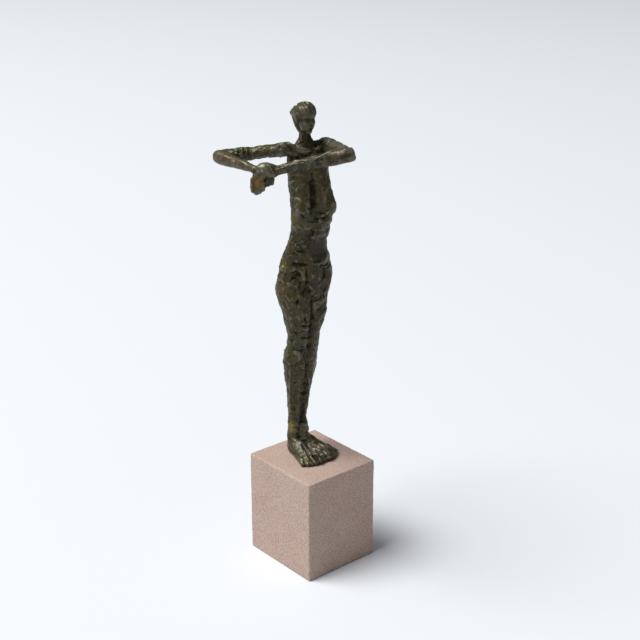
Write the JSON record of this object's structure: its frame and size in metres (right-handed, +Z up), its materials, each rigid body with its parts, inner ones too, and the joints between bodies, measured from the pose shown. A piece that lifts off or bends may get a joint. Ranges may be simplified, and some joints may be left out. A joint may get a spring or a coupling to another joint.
{
  "type": "standing female figure, cast bronze on a stone block",
  "caption": "Small roughly modelled bronze of a standing nude woman, feet together, elbows out and hands joined in front at shoulder height, on a sawn block of pink sandstone.",
  "frame": {"origin": "centre of the block's underside, on the surface the block stands on", "axes": "+Z up; the block is square to the axes; the feet point to -Y, so +X is the figure's left"},
  "size_m": [0.1103, 0.1098, 0.4361],
  "materials": {
    "bronze": "dark green-brown patina on cast bronze, near black in the hollows, olive and ochre where it is thin",
    "sandstone": "fine pinkish sandstone, sawn, with lightly worn grainy edges"
  },
  "bodies": {
    "root": {"bronze_figure": "bronze", "stone_block": "sandstone"}
  },
  "joints": []
}
